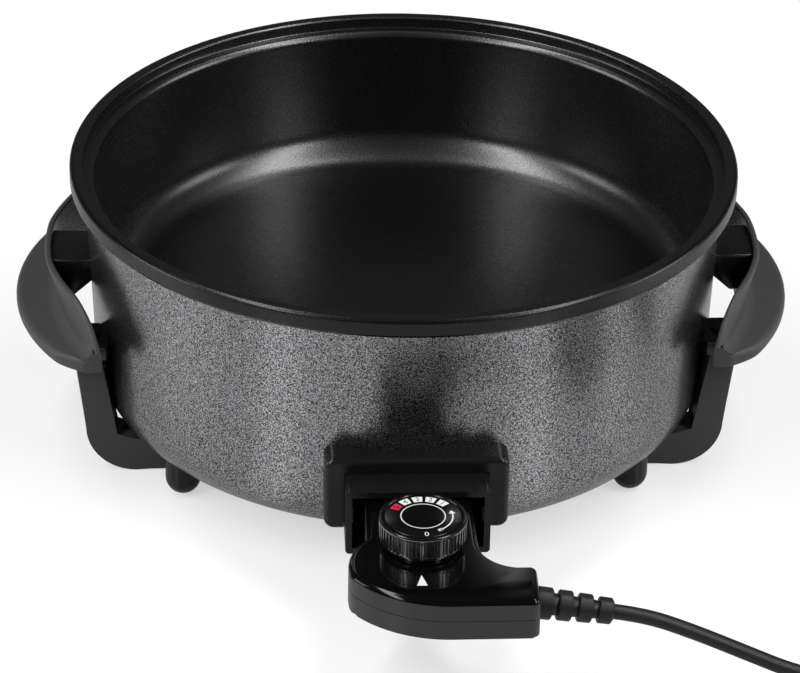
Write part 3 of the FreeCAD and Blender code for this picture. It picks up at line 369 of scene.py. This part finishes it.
def handleSection(y):
    # Outline across the handle: a flat flange that rises through a hollow into a leaning wall.
    g = grip
    inner = arcReach(g["foot"], g["footEnd"], g["half"], y)
    outer = arcReach(g["reach"], g["flangeEnd"], g["half"], y) - grown(g["tipCut"], y)
    wallTop = g["wallTop"] - grown(g["wallDrop"], y)
    lean = max(g["lean"][2] - grown(g["lean"], y, g["leanPower"]), 0)
    valley = inner + g["wall"] + g["valley"] + g["valleyRound"]
    arcs = [(inner + g["footRound"], g["bottom"] + g["footRound"], g["footRound"], 180, 270, 3),
            (outer - g["lowRound"], g["bottom"] + g["lowRound"], g["lowRound"], -90, 0, 5),
            (outer - g["highRound"], g["top"] - g["highRound"], g["highRound"], 0, 90, 5),
            (valley, g["top"] + g["valleyRound"], g["valleyRound"], 268, 188, 6),
            (inner + lean + g["wall"] - g["wallOuter"], wallTop - g["wallOuter"], g["wallOuter"], 0, 90, 4),
            (inner + lean + g["wallInner"], wallTop - g["wallInner"], g["wallInner"], 90, 180, 4)]
    return [point for x, z, *arc in arcs for point in arcPoints((x, z), *arc)]


def makeHandle(side, name):
    g = grip
    bm = bmesh.new()
    count = g["stations"]
    stations = [g["half"] * math.sin(math.pi / 2 * i / count) for i in range(-count, count + 1)]
    ends = lofted(bm, [[(side * x, y, z) for x, z in handleSection(y)] for y in stations])
    roundEdges(bm, [edge for face in ends for edge in face.edges], g["endRound"])
    bmesh.ops.recalc_face_normals(bm, faces=bm.faces)
    # Faces turned towards the shell get the darker phenolic: painted shade.
    refinish(face for face in bm.faces if face.normal.x * side < -g["facesShell"])

    # The bracket joins the handle's wall to the shell.
    handle = set(bm.faces)
    lofted(bm, [[(side * x, y, z) for x, z in g["bracket"]] for y in (-g["bracketHalf"], g["bracketHalf"])])
    bracket = [face for face in bm.faces if face not in handle]
    # The bracket gets the darker phenolic: painted shade under the rim.
    refinish(bracket)
    roundEdges(bm, {edge for face in bracket for edge in face.edges}, g["bracketRound"])

    # The heel stands under the front end, where the leg is screwed on.
    heights = g["bottom"] + g["heelInset"], g["top"] - g["heelInset"]
    for face in lofted(bm, [[(side * x, y, z) for x, y in g["heel"]] for z in heights]):
        roundEdges(bm, face.edges, g["heelRound"])
    # Faces nearest the shell, inside this reach and width, get the darker phenolic: painted shade.
    reach, width = g["polishedWithin"]
    refinish(face for face in bm.faces
             if abs(face.calc_center_median().x) < reach and abs(face.calc_center_median().y) < width)
    makePiece("handle" + name, bm, "base", "black_phenolic", ["handle_" + name.lower()], second="polishedPhenolic")


leg = {"front": -60, "back": -44, "outerTop": 161.2, "outerLow": 156.2, "innerTop": 147.2, "corner": 24,
       "top": 65.4, "toe": 110, "edge": 1.2,
       "hollow": [(142.2, 19.4), (134.5, 19.4), (130, 16.2), (124, 13.9), (118, 12.9), (110, 12.9)]}


def makeLeg(side, name):
    v = leg
    outline = [(v["toe"], 0)]
    outline += arcPoints((v["outerLow"] - v["corner"], v["corner"]), v["corner"], -90, 0, 12)
    outline += [(v["outerTop"], v["top"]), (v["innerTop"], v["top"])] + v["hollow"]
    bm = bmesh.new()
    ends = lofted(bm, [[(side * x, y, z) for x, z in outline] for y in (v["front"], v["back"])])
    roundEdges(bm, [edge for face in ends for edge in face.edges], v["edge"])
    makePiece("leg" + name, bm, "base", "black_phenolic", ["leg_" + name.lower()])


for side, name in ((-1, "Left"), (1, "Right")):
    makeHandle(side, name)
    makeLeg(side, name)
print("handles and legs done")


# Controller

# Each arc is its end, its radius, the side of its centre and a number of steps.
case = {"bottom": 36.1, "split": 45.6, "top": 55.9, "gap": 0.15, "topRound": 3, "lowRound": 0.9, "upright": 0.25,
        "nose": [(-24, -158), (-25, -208)],
        "cheek": [((-33.8, -234), 32, 1, 8), ((-31.8, -241), 14, 1, 4), ((12, -262), 55, 1, 20)],
        "frontCorner": [(46.9, -261.7), ((50.3, -258.3), 3.4, 1, 6)],
        "backCorner": [(50.3, -235.7), ((47.1, -232.5), 3.2, 1, 6)],
        "throat": [(41, -232.5), ((25.4, -214), 20, -1, 12)],
        "tip": (24, -158), "seam": (0.985, 0.998), "seamHalf": 0.6,
        "pointer": [(-1.7, -239.8), (-4.1, -248.2), (0.7, -248.2)], "pointerFoot": 55.7, "pointerTop": 55.94}


def caseOutline():
    c = case
    points = list(c["nose"])
    for arc in c["cheek"]:
        points += arcTo(points[-1], *arc)
    for corner in ("frontCorner", "backCorner", "throat"):
        start, arc = c[corner]
        points += [start] + arcTo(start, *arc)
    return points + [c["tip"]]


def slab(outline, low, high):
    bm = bmesh.new()
    return bm, *lofted(bm, [[(x, y, z) for x, y in outline] for z in (low, high)])


def makeCase():
    c = case
    outline = caseOutline()
    bm, _, roof = slab(outline, c["split"] + c["gap"], c["top"])
    bm.normal_update()
    roundEdges(bm, roof.edges, c["topRound"], 6)
    bm.normal_update()
    # Upright faces get the lighter side grey: painted light.
    refinish(face for face in bm.faces if abs(face.normal.z) < c["upright"])
    makePiece("caseUpper", bm, "controller", "black_case", ["controller_upper_case"], second="caseSide")

    # The lower half is all in the lighter side grey: painted light.
    bm, base, _ = slab(outline, c["bottom"], c["split"] - c["gap"])
    roundEdges(bm, base.edges, c["lowRound"])
    makePiece("caseLower", bm, "controller", "caseSide", ["controller_lower_case"])

    # The seam between the halves takes the same lighter grey: painted light.
    inset = [(x * c["seam"][0], y * c["seam"][1]) for x, y in outline]
    bm, _, _ = slab(inset, c["split"] - c["seamHalf"], c["split"] + c["seamHalf"])
    makePiece("caseSeam", bm, "controller", "caseSide")

    bm, hidden, _ = slab(c["pointer"], c["pointerFoot"], c["pointerTop"])
    bmesh.ops.delete(bm, geom=[hidden], context="FACES_ONLY")
    makePiece("pointerMark", bm, "controller", "print")


# The lists are heights and radii up the knob's side. The grip has grooves between its ribs.
dial = {"centre": (0, -214.5), "ribs": 54, "ribDepth": 0.9, "lacquerAbove": 70.3,
        "neck": [(56.3, 15.5), (57.7, 15.5), (57.7, 17), (57.9, 17.2), (58.8, 17.2), (59, 18.4)],
        "skirt": [(59.6, 19.1), (60.3, 19.1)],
        "grip": [(60.5, 19.7), (68.9, 19.9)],
        "crown": [(69.5, 19.95), (69.7, 20), (70.1, 20), (70.6, 19.8), (70.9, 19.4), (71, 18.8), (71, 17.9)],
        "recess": [(70.65, 17.7), (70.5, 17)],
        "disc": [(0, 70.4), (17.3, 70.4), (17.3, 70.65), (17.05, 70.8), (0, 70.8)], "discSteps": 96}


def knobRing(z, radius, depth):
    # Four points to each rib, two of them in the groove beside it.
    count = dial["ribs"] * 4
    return [(*polar(dial["centre"], radius - (depth if i % 4 in (0, 1) else 0), 2 * math.pi * i / count), z)
            for i in range(count)]


def makeKnob():
    d = dial
    bm = bmesh.new()
    lofted(bm, [knobRing(z, radius, d["ribDepth"] if stretch == "grip" else 0)
                for stretch in ("neck", "skirt", "grip", "crown", "recess") for z, radius in d[stretch]])
    refinish(face for face in bm.faces if face.calc_center_median().z > d["lacquerAbove"])
    makePiece("knobTurned", bm, "knob", "chromed_knob", ["knob"], angle=30, second="dial_print")
    makePiece("dialFace", spun(d["disc"], d["discSteps"], d["centre"]), "knob", "dial_print", ["dial_disc"])


# Pairs are inner and outer radii. Angles are degrees anticlockwise from the right.
dialPrint = {"height": 70.83, "digitHeight": 70.86, "ring": (9.75, 10.25), "tiles": (11.9, 16), "tileHalf": 9.2,
             "tileStep": 24.5, "firstTile": 48.9, "digitSize": 4, "digitRadius": 13.9, "zeroSize": 4.4,
             "zeroRadius": 14.6, "zeroAngle": -86.4, "arrow": (13.1, 13.75), "arrowFrom": -58, "arrowTo": 8,
             "tail": (12.6, 14.25), "tailFrom": -62, "tailTo": -52, "head": [(11.9, 8), (14.9, 8), (13.4, 20)]}


def dialPoint(radius, angle, z):
    return (*polar(dial["centre"], radius, math.radians(angle)), z)


def ringPatch(bm, radii, first, last, count):
    # Flat printed patch: a short line between two radii, swept round the dial's axis.
    ends = [bm.verts.new(dialPoint(radius, first, dialPrint["height"])) for radius in radii]
    bmesh.ops.spin(bm, geom=ends + [bm.edges.new(ends)], cent=(*dial["centre"], 0), axis=up,
                   angle=math.radians(last - first), steps=count, use_merge=last - first == 360)


def addDigit(bm, text, size, radius, angle, z):
    # Printed digit at an angle on the dial, its top facing outward.
    curve = bpy.data.curves.new("digit", "FONT")
    curve.body = text
    curve.size = size
    curve.align_x = "CENTER"
    curve.align_y = "CENTER"
    digit = bpy.data.objects.new("digit", curve)
    mesh = bpy.data.meshes.new_from_object(digit)
    turn = Matrix.Rotation(math.radians(angle - 90), 4, "Z")
    mesh.transform(Matrix.Translation(dialPoint(radius, angle, z)) @ turn)
    bm.from_mesh(mesh)
    bpy.data.objects.remove(digit)
    bpy.data.curves.remove(curve)
    bpy.data.meshes.remove(mesh)


def makeDialPrint():
    p = dialPrint
    white, red, black = bmesh.new(), bmesh.new(), bmesh.new()
    ringPatch(white, p["ring"], 0, 360, 72)
    for index, ink in enumerate((white, white, white, white, red)):
        angle = p["firstTile"] + p["tileStep"] * index
        ringPatch(ink, p["tiles"], angle - p["tileHalf"], angle + p["tileHalf"], 6)
        addDigit(black, str(index + 1), p["digitSize"], p["digitRadius"], angle, p["digitHeight"])
    addDigit(white, "0", p["zeroSize"], p["zeroRadius"], p["zeroAngle"], p["height"])
    ringPatch(white, p["arrow"], p["arrowFrom"], p["arrowTo"], 16)
    ringPatch(white, p["tail"], p["tailFrom"], p["tailTo"], 3)
    white.faces.new([white.verts.new(dialPoint(radius, angle, p["height"])) for radius, angle in p["head"]])
    makePiece("dialWhitePrint", white, "knob", "print")
    makePiece("dialRedPrint", red, "knob", "redPrint")
    makePiece("dialDigits", black, "knob", "dial_print")


makeCase()
makeKnob()
makeDialPrint()
print("controller done")


# Lead

# Each rib is where it starts and ends along the sleeve, and its radius.
sleeve = {"start": (50.3, -247.5, 45.7), "tilt": 9, "back": -2, "root": 7, "length": 34, "end": 4.3, "steps": 64,
          "ribs": [(-1.5, 6, 7.4), (8.6, 15, 7), (17.8, 24.2, 6.6), (27, 33.4, 6.1)]}


def makeSleeve():
    s = sleeve
    profile = [(0, s["back"]), (s["root"], s["back"])]
    for start, end, radius in s["ribs"]:
        profile += [(radius - 2.1, start), (radius - 0.5, start + 0.1), (radius, start + 0.6),
                    (radius - 0.1, end - 0.6), (radius - 0.6, end - 0.1), (radius - 2.2, end)]
    profile = profile[:-1] + [(s["end"], s["length"]), (0, s["length"])]
    bm = spun(profile, s["steps"])
    turn = Matrix.Rotation(math.radians(90 + s["tilt"]), 4, "Y")
    bmesh.ops.transform(bm, matrix=Matrix.Translation(s["start"]) @ turn, verts=bm.verts)
    makePiece("strainSleeve", bm, "controller", "black_rubber", ["strain_relief"], angle=30)


# The coil winds inward, climbs one layer while it turns back, and winds out again.
coil = {"centre": (234.99, -207.363), "z": 4.4, "radius": 46.4, "pitch": 7.8, "layer": 7.8, "turns": 4.25,
        "reverse": 2.25, "climb": 0.5, "perTurn": 16}

leadRadius = 3.5
leadRoute = [(83.6, -247.5, 40.43), (98.7, -247.5, 38.04), (121, -248, 29), (144, -249, 18.5),
             (166, -251, 9), (187, -253, 4.4), (208, -254.1, 4.4), (224, -253.6, 4.4)]
tailRoute = [(279.6, -193.4, 12.2), (279.9, -174.4, 14.5), (279.5, -155.4, 18.5), (279.5, -134.6, 18.5)]


def coilPoints():
    c = coil
    points = []
    count = int(c["turns"] * c["perTurn"])
    for i in range(count + 1):
        turn = c["turns"] * i / count
        inward = turn if turn < c["reverse"] else 2 * c["reverse"] - turn
        share = min(max((turn - c["reverse"]) / c["climb"] + 0.5, 0), 1)
        height = c["layer"] * (share - math.sin(2 * math.pi * share) / (2 * math.pi))
        angle = 2 * math.pi * turn - math.pi / 2
        points.append((*polar(c["centre"], c["radius"] - c["pitch"] * inward, angle), c["z"] + height))
    return points


def makeLead():
    route = leadRoute + coilPoints()[1:] + tailRoute
    curve = bpy.data.curves.new("mainsLead", "CURVE")
    curve.dimensions = "3D"
    spline = curve.splines.new("NURBS")
    spline.points.add(len(route) - 1)
    for point, spot in zip(spline.points, route):
        point.co = (*place(*spot), 1)
    spline.order_u = 3
    spline.use_endpoint_u = True
    spline.resolution_u = 6
    curve.bevel_depth = leadRadius * mm
    curve.bevel_resolution = 5
    curve.use_fill_caps = True
    curve.materials.append(materials["black_rubber"])
    lead = bpy.data.objects.new("mainsLead", curve)
    bpy.context.scene.collection.objects.link(lead)
    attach(lead, "controller")
    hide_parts("cord_run", "cord_coil", "cord_tail")


makeSleeve()
makeLead()
print("lead done")


# Stage, lights and camera

table = {"half": 8000, "drop": 0.3, "glow": 0.55, "mirroredGlow": 0.3}


def makeFloor():
    # Back-lit white acrylic table: it glows a little, so shadows stay pale, and mirrors faintly.
    t = table
    acrylic, shader = newMaterial("backlitAcrylicTable", "b4b4b5", 0.16, Emission_Color=(1, 1, 1, 1),
                                  Specular_IOR_Level=0.4)
    path = addNode(acrylic, "ShaderNodeLightPath")
    mirrored = addNode(acrylic, "ShaderNodeMath", {0: path.outputs["Is Glossy Ray"], 1: t["mirroredGlow"]},
                       operation="MULTIPLY")
    seen = addNode(acrylic, "ShaderNodeMath", {0: path.outputs["Is Camera Ray"], 1: mirrored.outputs["Value"]},
                   operation="MAXIMUM")
    glow = addNode(acrylic, "ShaderNodeMath", {0: seen.outputs["Value"], 1: t["glow"]}, operation="MULTIPLY")
    acrylic.node_tree.links.new(glow.outputs["Value"], shader.inputs["Emission Strength"])
    bm = bmesh.new()
    bmesh.ops.create_grid(bm, x_segments=1, y_segments=1, size=t["half"] * mm,
                          matrix=Matrix.Translation((0, 0, -t["drop"] * mm)))
    mesh = bpy.data.meshes.new("floor")
    bm.to_mesh(mesh)
    bm.free()
    mesh.materials.append(acrylic)
    floor = bpy.data.objects.new("floor", mesh)
    bpy.context.scene.collection.objects.link(floor)


# Lamps stand in mirrored pairs, in metres from the frame's origin. The strips lean along the pan's two long
# highlights, and the boxes light the sides.
lampAim = Vector((0, 0.05, 0.08))
lamps = {"Strip": {"spot": (1.02, -0.5, 1.46), "along": (-0.25, 0.79, 0.56), "size": (0.3, 2.8), "power": 34},
         "Box": {"spot": (1.5, -0.1, 0.5), "along": (0, 0, 1), "size": (0.7, 0.7), "power": 7}}
surroundLight = 0.08


def makeLamp(name, side, spot, along, size, power):
    mirror = Vector((side, 1, 1))
    light = bpy.data.lights.new(name, "AREA")
    light.shape = "RECTANGLE"
    light.size, light.size_y = size
    light.energy = power
    lamp = bpy.data.objects.new(name, light)
    lamp.location = mirror * Vector(spot)
    back = (lamp.location - lampAim).normalized()
    across = (mirror * Vector(along)).cross(back).normalized()
    lamp.rotation_euler = Matrix((across, back.cross(across), back)).transposed().to_euler()
    bpy.context.scene.collection.objects.link(lamp)


def makeWorld():
    world = bpy.data.worlds.new("studio")
    bpy.context.scene.world = world
    world.use_nodes = True
    world.node_tree.nodes["Background"].inputs["Color"].default_value = (1, 1, 1, 1)
    world.node_tree.nodes["Background"].inputs["Strength"].default_value = surroundLight


# Angles are degrees. The picture's centre lies sideways of the point that the camera circles.
view = {"azimuth": -3.1, "elevation": 30.15, "roll": 1.05, "distance": 1907.6, "aim": (0.29, 0, 39.4),
        "sideways": 0.61, "lens": 171}


def makeCamera():
    v = view
    az = math.radians(v["azimuth"])
    el = math.radians(v["elevation"])
    roll = math.radians(v["roll"])
    back = Vector((math.sin(az) * math.cos(el), -math.cos(az) * math.cos(el), math.sin(el)))
    right = Vector((math.cos(az), math.sin(az), 0))
    aim = Vector(v["aim"])
    spot = aim + back * v["distance"]
    forward = (aim - right * v["sideways"] - spot).normalized()
    across = (right * math.cos(roll) + back.cross(right) * math.sin(roll)).normalized()
    across = (across - forward * across.dot(forward)).normalized()
    matrix = Matrix((across, across.cross(forward), -forward)).transposed().to_4x4()
    matrix.translation = place(*spot)
    camera = bpy.data.objects.new("camera", bpy.data.cameras.new("camera"))
    camera.data.lens = v["lens"]
    camera.data.sensor_width = 36
    camera.data.sensor_fit = "HORIZONTAL"
    camera.data.clip_end = 50
    camera.matrix_world = matrix
    bpy.context.scene.collection.objects.link(camera)
    bpy.context.scene.camera = camera


makeFloor()
makeWorld()
for side, name in ((-1, "left"), (1, "right")):
    for kind, settings in lamps.items():
        makeLamp(name + kind, side, **settings)
makeCamera()
bpy.context.scene.view_settings.view_transform = "Standard"

print("stage done")
